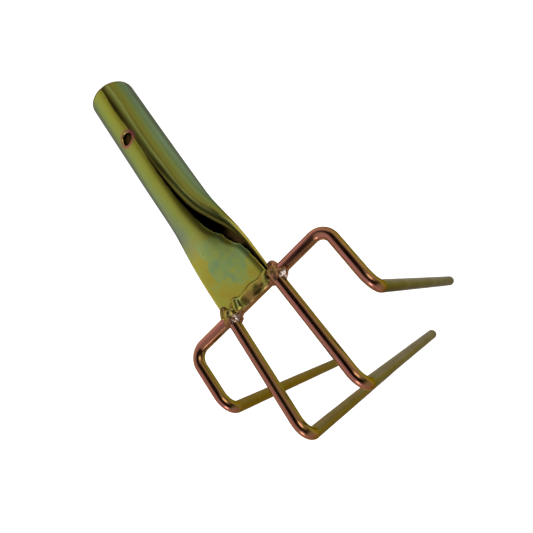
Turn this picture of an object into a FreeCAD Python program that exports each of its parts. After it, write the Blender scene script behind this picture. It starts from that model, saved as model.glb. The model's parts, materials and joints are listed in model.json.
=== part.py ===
import FreeCAD, Part
import math
import os
import Sketcher

V = FreeCAD.Vector

doc = FreeCAD.newDocument("hand_cultivator")

# Driving dimensions. Lengths are in millimetres and angles in degrees. The tool frame has the
# crossbar along X, the socket axis along Z with the mouth up, and the tines reaching along +Y.
DIMENSIONS = {
    "rod_radius": 4.0,
    "bend_radius": 10.0,
    "tip_rounding": 2.8,
    "crossbar_right": 62.6,
    "crossbar_left": 60.2,
    "corner_angle_right": 88.4,
    "corner_angle_left": 91.8,
    "outer_shank_right": 49.3,
    "outer_shank_left": 45.0,
    "outer_tine_right": 212.0,
    "outer_tine_left": 224.0,
    "outer_rise_right": 7.8,
    "outer_rise_left": 10.2,
    "outer_splay_right": 1.7,
    "outer_splay_left": 1.5,
    "inner_offset_right": 20.8,
    "inner_offset_left": 20.2,
    "inner_forward": 3.5,
    "inner_shank_right": 88.4,
    "inner_shank_left": 89.7,
    "inner_shank_splay": 1.8,
    "inner_shank_back": 1.7,
    "inner_tine_right": 212.0,
    "inner_tine_left": 212.0,
    "inner_rise_right": 11.4,
    "inner_rise_left": 11.7,
    "inner_splay_right": 1.5,
    "inner_splay_left": -0.4,
    "socket_radius": 17.2,
    "sheet_thickness": 2.0,
    "socket_x": -3.6,
    "socket_y": -1.3,
    "socket_mouth": 206.0,
    "socket_foot": 3.9,
    "plate_half_width": 22.9,
    "plate_x": -3.0,
    "plate_half_depth": 2.5,
    "core_height": 16.0,
    "wash_radius": 4.2,
    "back_bead_radius": 2.6,
    "end_cap_radius": 4.9,
    "left_fillet_radius": 3.6,
    "right_fillet_radius": 4.6,
    "finger_radius": 2.4,
    "left_heel_radius": 3.9,
    "right_heel_radius": 4.2,
    "hole_radius": 5.0,
    "hole_height": 151.8,
    "hole_azimuth": -4.5,
}

# The tool rests on the tips of its two outer tines and on the back of the socket mouth.
REST_YAW, REST_PITCH, REST_ROLL = 179.22, 7.57, -132.66
REST_SHIFT = V(-9.94, -6.29, 149.71)
REST = FreeCAD.Placement(REST_SHIFT, FreeCAD.Rotation(REST_YAW, REST_PITCH, REST_ROLL))

dims = doc.addObject("Spreadsheet::Sheet", "dims")
for row, (alias, value) in enumerate(DIMENSIONS.items(), start=1):
    dims.set("A%d" % row, alias)
    dims.set("B%d" % row, str(value))
    dims.setAlias("B%d" % row, alias)
doc.recompute()


def size(alias):
    return DIMENSIONS[alias]


def slope(alias):
    return math.tan(math.radians(size(alias)))


def compare(name, found, expected, tolerance):
    if abs(found - expected) > tolerance * expected:
        raise RuntimeError("%s has volume %.1f, not %.1f" % (name, found, expected))


def place(obj, position=V(0, 0, 0), rotation=FreeCAD.Rotation()):
    """Place an object given in the tool frame into the frame the tool rests in."""
    obj.Placement = REST.multiply(FreeCAD.Placement(position, rotation))


# Bent rods

def new_sketch(body, name, offset):
    """Sketch on the body's own XY plane, moved to the given offset placement."""
    sketch = body.newObject("Sketcher::SketchObject", name)
    plane = [f for f in body.Origin.OriginFeatures if f.Role == "XY_Plane"][0]
    sketch.AttachmentSupport = [(plane, "")]
    sketch.MapMode = "FlatFace"
    sketch.AttachmentOffset = offset
    return sketch


def constrain(sketch, name, rule, expression=None):
    index = sketch.addConstraint(Sketcher.Constraint(*rule))
    if expression:
        sketch.renameConstraint(index, name)
        sketch.setExpression("Constraints." + name, expression)


def bent_rod(body, name, start, along, then, first, second):
    """Sweep the round rod along a straight, a bend and a second straight.

    along and then are the directions of the two straights. first and second are expressions
    for the distances from start to the corner point and from the corner point to the end.
    """
    along, then = V(along).normalize(), V(then).normalize()
    turn = along.getAngle(then)
    radius = size("bend_radius")
    setback = radius * math.tan(turn / 2)
    normal = along.cross(then).normalize()
    rotation = FreeCAD.Rotation(along, normal.cross(along), normal, "XYZ")
    path = new_sketch(body, name + "_path", FreeCAD.Placement(start, rotation))

    reach = eval_length(first) - setback
    run = eval_length(second) - setback
    centre = V(reach, radius, 0)
    bend_end = centre + V(math.sin(turn), -math.cos(turn), 0) * radius
    path_end = bend_end + V(math.cos(turn), math.sin(turn), 0) * run
    path.addGeometry(Part.LineSegment(V(0, 0, 0), V(reach, 0, 0)), False)
    path.addGeometry(Part.ArcOfCircle(
        Part.Circle(centre, V(0, 0, 1), radius), -math.pi / 2, turn - math.pi / 2), False)
    path.addGeometry(Part.LineSegment(bend_end, path_end), False)
    cut_back = "dims.bend_radius * tan(%.6f deg)" % math.degrees(turn / 2)
    constrain(path, "start", ("Coincident", 0, 1, -1, 1))
    constrain(path, "level", ("Horizontal", 0))
    constrain(path, "bend_in", ("Tangent", 0, 2, 1, 1))
    constrain(path, "bend_out", ("Tangent", 1, 2, 2, 1))
    constrain(path, "bend_radius", ("Radius", 1, radius), "dims.bend_radius")
    constrain(path, "reach", ("Distance", 0, reach), "%s - %s" % (first, cut_back))
    constrain(path, "run", ("Distance", 2, run), "%s - %s" % (second, cut_back))
    constrain(path, "turn", ("Angle", 0, 1, 2, 1, turn))

    across = FreeCAD.Rotation(normal, normal.cross(along) * -1, along, "XYZ")
    ring = new_sketch(body, name + "_section", FreeCAD.Placement(start, across))
    ring.addGeometry(Part.Circle(V(0, 0, 0), V(0, 0, 1), size("rod_radius")), False)
    constrain(ring, "centred", ("Coincident", 0, 3, -1, 1))
    constrain(ring, "rod_radius", ("Radius", 0, size("rod_radius")), "dims.rod_radius")

    before = body.Tip.Shape.Volume if body.Tip else 0.0
    sweep = body.newObject("PartDesign::AdditivePipe", name)
    sweep.Profile = ring
    sweep.Spine = (path, ["Edge1", "Edge2", "Edge3"])
    doc.recompute()
    section = math.pi * size("rod_radius") ** 2
    compare(name, sweep.Shape.Volume - before, section * (reach + radius * turn + run), 0.005)
    return sweep, start + along * eval_length(first) + then * eval_length(second)


def eval_length(expression):
    """Length of a 'dims.name' or 'dims.name / 2' expression."""
    alias, _, divisor = expression.replace("dims.", "").partition(" / ")
    return size(alias) / float(divisor or 1)


def round_tip(body, feature, tip):
    """Fillet the end edge nearest the tip point."""
    def distance(item):
        return (item[1].CenterOfGravity - tip).Length
    number = min(enumerate(feature.Shape.Edges, start=1), key=distance)[0]
    fillet = body.newObject("PartDesign::Fillet", feature.Name + "_tip")
    fillet.Base = (feature, ["Edge%d" % number])
    fillet.setExpression("Radius", "dims.tip_rounding")
    doc.recompute()
    return fillet


down_right = V(math.cos(math.radians(size("corner_angle_right"))), 0, -1)
down_left = V(-math.cos(math.radians(size("corner_angle_left"))), 0, -1)
corner_right = V(size("crossbar_right"), 0, 0)
corner_left = V(-size("crossbar_left"), 0, 0)
foot_right = corner_right + V(down_right).normalize() * (size("outer_shank_right") / 2)
foot_left = corner_left + V(down_left).normalize() * (size("outer_shank_left") / 2)

outer = doc.addObject("PartDesign::Body", "outer_bar")
outer.Label = "outer_tine_bar"
place(outer)
bent_rod(outer, "shoulder_right", V(0, 0, 0), V(1, 0, 0), down_right,
         "dims.crossbar_right", "dims.outer_shank_right / 2")
bent_rod(outer, "shoulder_left", V(0, 0, 0), V(-1, 0, 0), down_left,
         "dims.crossbar_left", "dims.outer_shank_left / 2")
tine, tip = bent_rod(
    outer, "tine_right", foot_right, down_right,
    V(slope("outer_splay_right"), 1, slope("outer_rise_right")),
    "dims.outer_shank_right / 2", "dims.outer_tine_right")
round_tip(outer, tine, tip)
tine, tip = bent_rod(
    outer, "tine_left", foot_left, down_left,
    V(-slope("outer_splay_left"), 1, slope("outer_rise_left")),
    "dims.outer_shank_left / 2", "dims.outer_tine_left")
round_tip(outer, tine, tip)


crossbar_trim = doc.addObject("Part::Cylinder", "crossbar_trim")
crossbar_trim.setExpression("Radius", "dims.rod_radius")
crossbar_trim.setExpression("Height", "(dims.crossbar_right + dims.crossbar_left) * 0.75")
place(crossbar_trim, V(-0.75 * size("crossbar_left"), 0, 0),
      FreeCAD.Rotation(V(0, 0, 1), V(1, 0, 0)))
shank_trims = {}
untrimmed = []


def inner_rod(side, sign):
    """Inner shank and tine, coped at the top where it meets the crossbar."""
    body = doc.addObject("PartDesign::Body", "rod_" + side)
    place(body)
    top = V(sign * size("inner_offset_" + side), -size("inner_forward"), 0)
    shank = V(sign * slope("inner_shank_splay"), slope("inner_shank_back"), -1)
    tine_way = V(sign * slope("inner_splay_" + side), 1, slope("inner_rise_" + side))
    feature, end = bent_rod(body, "inner_" + side, top, shank, tine_way,
                            "dims.inner_shank_" + side, "dims.inner_tine_" + side)
    round_tip(body, feature, end)
    coped = doc.addObject("Part::Cut", "inner_tine_" + side)
    coped.Base, coped.Tool = body, crossbar_trim
    coped.Label = "inner_tine_" + side
    untrimmed.append((coped, body))
    trim = doc.addObject("Part::Cylinder", "shank_trim_" + side)
    trim.setExpression("Radius", "dims.rod_radius")
    trim.setExpression("Height", "dims.inner_shank_%s * 0.5" % side)
    place(trim, top, FreeCAD.Rotation(V(0, 0, 1), shank))
    shank_trims[side] = trim
    return coped


inner_right = inner_rod("right", 1)
inner_left = inner_rod("left", -1)


# Socket: one sheet wrapped into a tube, pressed flat towards the crossbar. The tube's free edge
# dips under the opposite lip, which curls round the right side and stands in front of it.

# Height, flatness from 0 (tube) to 1 (plate), azimuth of the free edge of the pressed sheet,
# azimuth of the lip, and how far the lip stands forward of the pressed sheet.
STATIONS = (
    (122.0, 0.00, 12.2, 13.8, 0.0),
    (116.0, 0.00, 12.2, 13.8, 0.0),
    (106.0, 0.03, 12.2, 15.0, 0.1),
    (93.0, 0.09, 12.8, 19.0, 0.8),
    (81.0, 0.19, 14.0, 27.0, 2.2),
    (70.0, 0.38, 15.5, 38.0, 3.8),
    (60.0, 0.60, 18.0, 52.0, 4.4),
    (50.0, 0.80, 32.0, 68.0, 4.0),
    (40.0, 0.93, 52.0, 79.0, 3.2),
    (30.0, 0.985, 68.0, 84.0, 2.4),
    (18.0, 1.00, 74.0, 87.0, 1.8),
    (3.9, 1.00, 79.0, 88.5, 1.5),
)
FOLD_HALF_ANGLE = 8.0


def tube_point(azimuth):
    """Middle of the sheet on the round tube; azimuth 0 faces forward, positive is right."""
    radius = size("socket_radius") - size("sheet_thickness") / 2
    angle = math.radians(azimuth)
    return V(size("socket_x") + radius * math.sin(angle),
             size("socket_y") - radius * math.cos(angle), 0)


def plate_point(azimuth):
    """Middle of the sheet on the pressed plate; the folds are at azimuths -90 and 90."""
    fold = size("plate_half_depth") - size("sheet_thickness") / 2
    straight = size("plate_half_width") - size("plate_half_depth")
    turn = (azimuth + 90) % 360 - 90
    side, mirror = (1, turn) if turn <= 90 + FOLD_HALF_ANGLE else (-1, 180 - turn)
    reach = 90 - FOLD_HALF_ANGLE
    if abs(mirror) <= reach:
        return V(size("plate_x") + straight * mirror / reach, -side * fold, 0)
    past = math.copysign(math.pi / 2 * (abs(mirror) - reach) / FOLD_HALF_ANGLE, mirror)
    return V(size("plate_x") + math.copysign(straight, mirror) + fold * math.sin(past),
             -side * fold * math.cos(past), 0)


def azimuths(free_edge, lip):
    """Azimuths from the free edge leftwards round the back to the lip, closer at the folds."""
    spans = ((free_edge, -90.0, 14, 0.0, 0.8), (-90.0, -270.0, 24, 0.8, 0.8),
             (-270.0, lip - 360.0, 12, 0.8, 0.0))
    found = [free_edge]
    for begin, end, count, slow_start, slow_end in spans:
        for step in range(1, count + 1):
            part = step / float(count)
            ease = part * part * (3 - 2 * part)
            weight = slow_start * (1 - part) + slow_end * part
            found.append(begin + (end - begin) * (part * (1 - weight) + ease * weight))
    return found


def sheet_line(flatness, free_edge, lip, lip_rise):
    """Points along the middle of the sheet at one height."""
    points = []
    for azimuth in azimuths(free_edge, lip):
        point = tube_point(azimuth) * (1 - flatness) + plate_point(azimuth) * flatness
        curl = min(1.0, max(0.0, (-245.0 - azimuth) / 40.0))
        point.y -= lip_rise * curl * curl * (3 - 2 * curl)
        points.append(point)
    return points


def tube_wire(height):
    """Exact round section, open at the seam, as outer arc, end, inner arc, end."""
    start, lip = math.radians(STATIONS[0][2]), math.radians(STATIONS[0][3] - 360)
    edges, ends = [], []
    for radius in (size("socket_radius"), size("socket_radius") - size("sheet_thickness")):
        points = []
        for azimuth in (start, (start + lip) / 2, lip):
            points.append(V(size("socket_x") + radius * math.sin(azimuth),
                            size("socket_y") - radius * math.cos(azimuth), height))
        edges.append(Part.Arc(*points).toShape())
        ends.append((points[0], points[2]))
    return Part.Wire([edges[0], Part.LineSegment(ends[0][1], ends[1][1]).toShape(),
                      edges[1], Part.LineSegment(ends[1][0], ends[0][0]).toShape()])


def section_wire(height, flatness, free_edge, lip, lip_rise):
    middle = sheet_line(flatness, free_edge, lip, lip_rise)
    half = size("sheet_thickness") / 2
    outside, inside = [], []
    for index, point in enumerate(middle):
        ahead = middle[min(index + 1, len(middle) - 1)] - middle[max(index - 1, 0)]
        normal = V(ahead.y, -ahead.x, 0).normalize() * -1
        outside.append(V(point.x, point.y, height) + normal * half)
        inside.append(V(point.x, point.y, height) - normal * half)
    knots = [float(index) for index in range(len(middle))]
    outer_curve, inner_curve = Part.BSplineCurve(), Part.BSplineCurve()
    outer_curve.interpolate(Points=outside, Parameters=knots)
    inner_curve.interpolate(Points=inside, Parameters=knots)
    return Part.Wire([
        outer_curve.toShape(),
        Part.LineSegment(outside[-1], inside[-1]).toShape(),
        inner_curve.toShape(),
        Part.LineSegment(inside[0], outside[0]).toShape(),
    ])


tube_foot = STATIONS[0][0]
sections = [tube_wire(tube_foot)] + [section_wire(*station) for station in STATIONS[1:]]
pressed = doc.addObject("Part::Feature", "pressed_foot")
pressed.Shape = Part.makeLoft(sections, True, False)
place(pressed)

tube = doc.addObject("Part::Feature", "round_tube")
tube.Shape = Part.Face(tube_wire(tube_foot)).extrude(V(0, 0, size("socket_mouth") - tube_foot))
place(tube)

sheet = doc.addObject("Part::MultiFuse", "socket_sheet")
sheet.Shapes = [tube, pressed]
sheet.Refine = False

hole = doc.addObject("Part::Cylinder", "pin_hole_drill")
hole.setExpression("Radius", "dims.hole_radius")
hole.setExpression("Height", "dims.socket_radius * 1.3")
hole_angle = math.radians(size("hole_azimuth"))
hole_way = V(math.sin(hole_angle), -math.cos(hole_angle), 0)
place(hole, V(size("socket_x"), size("socket_y"), size("hole_height")),
      FreeCAD.Rotation(V(0, 0, 1), hole_way))

socket = doc.addObject("Part::Cut", "socket")
socket.Base, socket.Tool = sheet, hole

# Weld beads. Each is a mound laid over a joint and trimmed by the metal it sticks to.

def finger(name, start, end, radius_alias):
    """Round-ended run of weld from start to end."""
    way = end - start
    run = doc.addObject("Part::Cylinder", name)
    run.setExpression("Radius", "dims." + radius_alias)
    run.Height = way.Length
    place(run, start, FreeCAD.Rotation(V(0, 0, 1), way))
    return [run, lump(name + "_start", start, radius_alias),
            lump(name + "_end", end, radius_alias)]


def lump(name, centre, radius_alias):
    ball = doc.addObject("Part::Sphere", name)
    ball.setExpression("Radius", "dims." + radius_alias)
    place(ball, centre)
    return ball


def bead(label, mounds, neighbours):
    mound = mounds[0]
    if len(mounds) > 1:
        mound = doc.addObject("Part::MultiFuse", label + "_mound")
        mound.Shapes = mounds
    whole = mound
    for index, neighbour in enumerate(neighbours):
        last = index == len(neighbours) - 1
        trimmed = doc.addObject("Part::Cut", label if last else "%s_trim_%d" % (label, index))
        trimmed.Base, trimmed.Tool = mound, neighbour
        mound = trimmed
    mound.Label = label
    untrimmed.append((mound, whole))
    return mound


plate_left = size("plate_x") - size("plate_half_width")
plate_right = size("plate_x") + size("plate_half_width")

# The plate's two layers with the gap between them, which no weld runs into.
core_box = doc.addObject("Part::Box", "plate_core_flat")
core_box.setExpression("Length", "(dims.plate_half_width - dims.plate_half_depth) * 2")
core_box.setExpression("Width", "dims.plate_half_depth * 2")
core_box.setExpression("Height", "dims.core_height")
base = size("socket_foot") - 3.0
place(core_box, V(plate_left + size("plate_half_depth"), -size("plate_half_depth"), base))
edges = []
for tag, across in (("left", plate_left + size("plate_half_depth")),
                    ("right", plate_right - size("plate_half_depth"))):
    edge = doc.addObject("Part::Cylinder", "plate_core_" + tag)
    edge.setExpression("Radius", "dims.plate_half_depth")
    edge.setExpression("Height", "dims.core_height")
    place(edge, V(across, 0, base))
    edges.append(edge)
core = doc.addObject("Part::MultiFuse", "plate_core")
core.Shapes = [core_box] + edges

front = bead("weld_front", finger("wash_high", V(-14.0, -2.0, 3.6), V(13.0, -2.0, 3.6), "wash_radius")
             + finger("wash_low", V(-12.5, -1.2, -0.5), V(12.5, -1.2, -0.5), "wash_radius"),
             [crossbar_trim, core, shank_trims["right"], shank_trims["left"]])
back = bead("weld_back", finger("back_run", V(plate_left + 6, 3.2, 4.4),
                                V(plate_right - 6, 3.2, 4.4), "back_bead_radius"),
            [crossbar_trim, core])
tine_welds = {}
for side, sign in (("left", -1), ("right", 1)):
    top_x = sign * size("inner_offset_" + side)
    tine_welds[side] = bead("weld_tine_" + side, [
        lump(side + "_end_cap", V(top_x, -3.6, 0.4), "end_cap_radius"),
        lump(side + "_left_fillet", V(top_x - 4.0, -3.0, -3.9), "left_fillet_radius"),
        lump(side + "_right_fillet", V(top_x + 5.2, -3.0, -4.8), "right_fillet_radius"),
    ], [crossbar_trim, core, shank_trims[side], front])
corner_left = bead("weld_corner_left", finger(
    "left_finger", V(-23.0, -2.8, 7.8), V(-26.3, -2.9, 2.4), "finger_radius")
    + [lump("left_heel", V(-24.8, 0.6, 4.3), "left_heel_radius")],
    [crossbar_trim, core, tine_welds["left"], back])
corner_right = bead("weld_corner_right", [
    lump("right_heel", V(20.8, 1.2, 6.2), "right_heel_radius")],
    [crossbar_trim, core, tine_welds["right"], back])

nodes = (outer, inner_right, inner_left, socket, front, back,
         tine_welds["left"], tine_welds["right"], corner_left, corner_right)
doc.recompute()

for obj in doc.Objects:
    if "Invalid" in obj.State or "Error" in obj.State:
        raise RuntimeError("%s did not recompute: %s" % (obj.Name, obj.State))

drilled = math.pi * size("hole_radius") ** 2 * size("sheet_thickness")
compare("socket_sheet", sheet.Shape.Volume, tube.Shape.Volume + pressed.Shape.Volume, 0.001)
compare("pin hole", sheet.Shape.Volume - socket.Shape.Volume, drilled, 0.1)
for node, whole in untrimmed:
    if node.Shape.Volume >= whole.Shape.Volume:
        raise RuntimeError("%s is not trimmed" % node.Label)

os.makedirs("parts", exist_ok=True)
for node in nodes:
    shape = node.Shape
    if shape.isNull() or not shape.isValid() or len(shape.Solids) != 1:
        raise RuntimeError("%s is not one valid solid" % node.Label)
    box = shape.optimalBoundingBox()
    print(node.Label, round(shape.Volume, 1), [round(v, 2) for v in (
        box.XMin, box.XMax, box.YMin, box.YMax, box.ZMin, box.ZMax)])
    shape.exportStep("parts/%s.step" % node.Label)
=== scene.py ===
import json
import math

import bmesh
import bpy
import numpy as np
from mathutils import Matrix, Vector

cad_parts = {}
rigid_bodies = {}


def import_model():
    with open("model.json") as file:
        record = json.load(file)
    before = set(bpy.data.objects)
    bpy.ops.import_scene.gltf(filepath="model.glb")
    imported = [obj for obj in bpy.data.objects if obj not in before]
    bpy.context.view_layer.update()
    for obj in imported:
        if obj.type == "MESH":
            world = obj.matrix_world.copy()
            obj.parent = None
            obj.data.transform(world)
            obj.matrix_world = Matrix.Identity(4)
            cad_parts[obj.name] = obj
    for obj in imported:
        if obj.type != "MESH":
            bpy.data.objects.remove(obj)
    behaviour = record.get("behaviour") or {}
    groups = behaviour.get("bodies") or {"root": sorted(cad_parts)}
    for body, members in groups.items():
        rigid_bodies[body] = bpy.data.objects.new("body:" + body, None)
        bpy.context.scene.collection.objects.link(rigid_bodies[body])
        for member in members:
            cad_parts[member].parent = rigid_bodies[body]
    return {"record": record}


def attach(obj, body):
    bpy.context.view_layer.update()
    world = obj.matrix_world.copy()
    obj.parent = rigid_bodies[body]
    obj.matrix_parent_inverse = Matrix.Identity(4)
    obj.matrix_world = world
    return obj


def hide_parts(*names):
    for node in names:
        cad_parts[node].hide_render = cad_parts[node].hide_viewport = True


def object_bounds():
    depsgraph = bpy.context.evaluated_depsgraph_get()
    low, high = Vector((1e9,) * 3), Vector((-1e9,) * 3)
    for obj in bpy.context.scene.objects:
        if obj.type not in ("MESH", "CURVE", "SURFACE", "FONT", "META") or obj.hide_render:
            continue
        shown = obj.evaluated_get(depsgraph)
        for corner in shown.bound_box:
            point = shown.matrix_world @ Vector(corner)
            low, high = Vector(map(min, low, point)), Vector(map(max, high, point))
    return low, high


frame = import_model()
low_start, high_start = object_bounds()
MM = 0.001

# The tool's own frame, in millimetres: socket axis up along Z, crossbar along X through the
# origin, tines reaching along +Y. It is found from the two mounts in the record.
mounts = {m["name"]: m for m in frame["record"]["mounts"]}
SOCKET_X, SOCKET_Y = -3.6, -1.3
SOCKET_RADIUS, SOCKET_MOUTH, BORE_MIDDLE = 17.2, 206.0, 164.0
axis_z = np.array(mounts["handle_socket"]["axis"])
axis_z /= np.linalg.norm(axis_z)
hole_way = np.array(mounts["handle_pin_hole"]["axis"])
hole_way -= axis_z * (hole_way @ axis_z)
hole_way /= np.linalg.norm(hole_way)
HOLE_AZIMUTH, HOLE_HEIGHT, HOLE_RADIUS = math.radians(-4.5), 151.8, 5.0
sideways = np.cross(axis_z, hole_way)
axis_x = math.sin(HOLE_AZIMUTH) * hole_way + math.cos(HOLE_AZIMUTH) * sideways
axis_y = np.cross(axis_z, axis_x)
TURN = np.column_stack([axis_x, axis_y, axis_z])
bore_middle = np.array([SOCKET_X, SOCKET_Y, BORE_MIDDLE])
ORIGIN = np.array(mounts["handle_socket"]["pos_m"]) - TURN @ bore_middle * MM


def to_row(points):
    """Tool-frame millimetres to row-frame metres."""
    return np.asarray(points, dtype=float) @ TURN.T * MM + ORIGIN


def to_tool(points):
    """Row-frame metres to tool-frame millimetres."""
    return (np.asarray(points, dtype=float) - ORIGIN) @ TURN / MM


# Materials

def linear(red, green, blue):
    """Linear colour from 0-255 display values."""
    out = []
    for value in (red, green, blue):
        value /= 255.0
        out.append(value / 12.92 if value <= 0.04045 else ((value + 0.055) / 1.055) ** 2.4)
    return (*out, 1.0)


class Nodes:
    """Small helper for building one material's node tree."""

    def __init__(self, name):
        self.material = bpy.data.materials.new(name)
        self.material.use_nodes = True
        self.tree = self.material.node_tree
        self.shader = self.tree.nodes["Principled BSDF"]

    def add(self, kind, inputs=None, **settings):
        node = self.tree.nodes.new(kind)
        for key, value in settings.items():
            setattr(node, key, value)
        for key, value in (inputs or {}).items():
            self.put(node.inputs[key], value)
        return node

    def put(self, socket, value):
        if isinstance(value, bpy.types.NodeSocket):
            self.tree.links.new(value, socket)
        else:
            socket.default_value = value

    def attribute(self, name):
        return self.add("ShaderNodeAttribute", attribute_name=name).outputs["Fac"]

    def place(self):
        return self.add("ShaderNodeTexCoord").outputs["Object"]

    def noise(self, scale, detail=3.0, roughness=0.5, vector=None, distortion=0.0):
        node = self.add("ShaderNodeTexNoise", {
            "Scale": scale, "Detail": detail, "Roughness": roughness, "Distortion": distortion})
        self.put(node.inputs["Vector"], vector if vector is not None else self.place())
        return node.outputs["Fac"]

    def ramp(self, factor, stops, interpolation="LINEAR"):
        node = self.add("ShaderNodeValToRGB", {"Fac": factor})
        band = node.color_ramp
        band.interpolation = interpolation
        while len(band.elements) < len(stops):
            band.elements.new(0.5)
        for element, (position, colour) in zip(band.elements, sorted(stops)):
            element.position = position
            element.color = colour
        return node.outputs["Color"]

    def math(self, operation, first, second=0.0, clamp=False):
        node = self.add("ShaderNodeMath", operation=operation, use_clamp=clamp)
        self.put(node.inputs[0], first)
        self.put(node.inputs[1], second)
        return node.outputs[0]

    def mix(self, factor, first, second, blend="MIX"):
        node = self.add("ShaderNodeMix", data_type="RGBA", blend_type=blend)
        self.put(node.inputs["Factor"], factor)
        self.put(node.inputs["A"], first)
        self.put(node.inputs["B"], second)
        return node.outputs["Result"]

    def spread(self, value, low, high, out_low=0.0, out_high=1.0):
        node = self.add("ShaderNodeMapRange", {
            "Value": value, "From Min": low, "From Max": high,
            "To Min": out_low, "To Max": out_high})
        return node.outputs["Result"]

    def bump(self, height, strength, distance):
        node = self.add("ShaderNodeBump", {
            "Strength": strength, "Distance": distance, "Height": height})
        self.put(self.shader.inputs["Normal"], node.outputs["Normal"])


def grey(value):
    return (value, value, value, 1.0)


def stretched(nodes, names, scales):
    """Vector made from mesh attributes, each with its own scale."""
    node = nodes.add("ShaderNodeCombineXYZ")
    for index, (name, scale) in enumerate(zip(names, scales)):
        nodes.put(node.inputs[index], nodes.math("MULTIPLY", nodes.attribute(name), scale))
    return node.outputs[0]


def rod_material(name, shift):
    """Glossy copper-brown film on the shanks that turns olive along the tines, with painted
    highlight and shade bands.
    """
    n = Nodes(name)
    drawn = n.noise(1.0, 4.0, 0.6, stretched(n, ("around", "along", "tine"), (6.0, 0.05, 0.0)))
    clouds = n.noise(60.0 + shift, 3.0, 0.55)
    side = n.attribute("side")
    # Bands across the bar by the way it faces: painted highlight on one flank, painted shade on
    # the other, painted reflection as olive edges.
    face = n.ramp(n.math("ADD", side, n.spread(drawn, 0.3, 0.7, -0.05, 0.05)), [
        (0.06, linear(116, 98, 36)), (0.16, linear(140, 88, 72)), (0.27, linear(162, 100, 92)),
        (0.45, linear(140, 86, 76)), (0.68, linear(122, 80, 60)), (0.88, linear(118, 86, 48)),
        (0.97, linear(108, 90, 34))])
    # Tines lighter where they face one fixed way and darker where they face away: painted
    # highlight and painted shade.
    tine = n.ramp(n.math("ADD", n.attribute("underside_shade"), n.spread(clouds, 0.3, 0.7, -0.06, 0.06)), [
        (0.02, linear(122, 116, 100)), (0.12, linear(108, 103, 78)), (0.24, linear(98, 93, 56)),
        (0.44, linear(82, 78, 38)), (0.62, linear(68, 64, 30)), (0.80, linear(57, 51, 24)),
        (1.0, linear(46, 38, 20))])
    golden = n.mix(n.math("MULTIPLY", n.attribute("gold"), 0.75), tine, linear(106, 82, 18))
    tipped = n.mix(n.spread(n.attribute("tine"), 0.45, 1.0, 0.0, 0.35), golden, linear(92, 86, 72))
    face = n.mix(n.spread(clouds, 0.4, 0.75, 0.0, 0.3), face, linear(126, 102, 50))
    colour = n.mix(n.attribute("olive"), face, tipped)
    pits = n.noise(900.0, 2.0, 0.5)
    n.put(n.shader.inputs["Base Color"], n.mix(n.spread(pits, 0.62, 0.75, 0.0, 0.4), colour,
                                               linear(50, 38, 26)))
    n.put(n.shader.inputs["Metallic"], 1.0)
    n.put(n.shader.inputs["Specular Tint"],
          n.mix(n.attribute("olive"), (0.38, 0.36, 0.16, 1.0), (0.46, 0.44, 0.38, 1.0)))
    rough = n.spread(clouds, 0.3, 0.7, 0.16, 0.26)
    rough = n.math("ADD", rough, n.math("MULTIPLY", n.attribute("olive"), 0.24))
    n.put(n.shader.inputs["Roughness"], rough)
    height = n.math("ADD", n.math("MULTIPLY", drawn, 0.7), n.math("MULTIPLY", pits, 0.3))
    n.bump(height, 0.12, 0.0003)
    return n.material


# The teal patch on the plate: its centre in the tool frame, and the distances in metres from
# there at which it is whole and at which it has gone.
PATCH_CENTRE = (-3.5, -2.5, 32.0)
PATCH_FULL, PATCH_END = 0.010, 0.026


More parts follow.
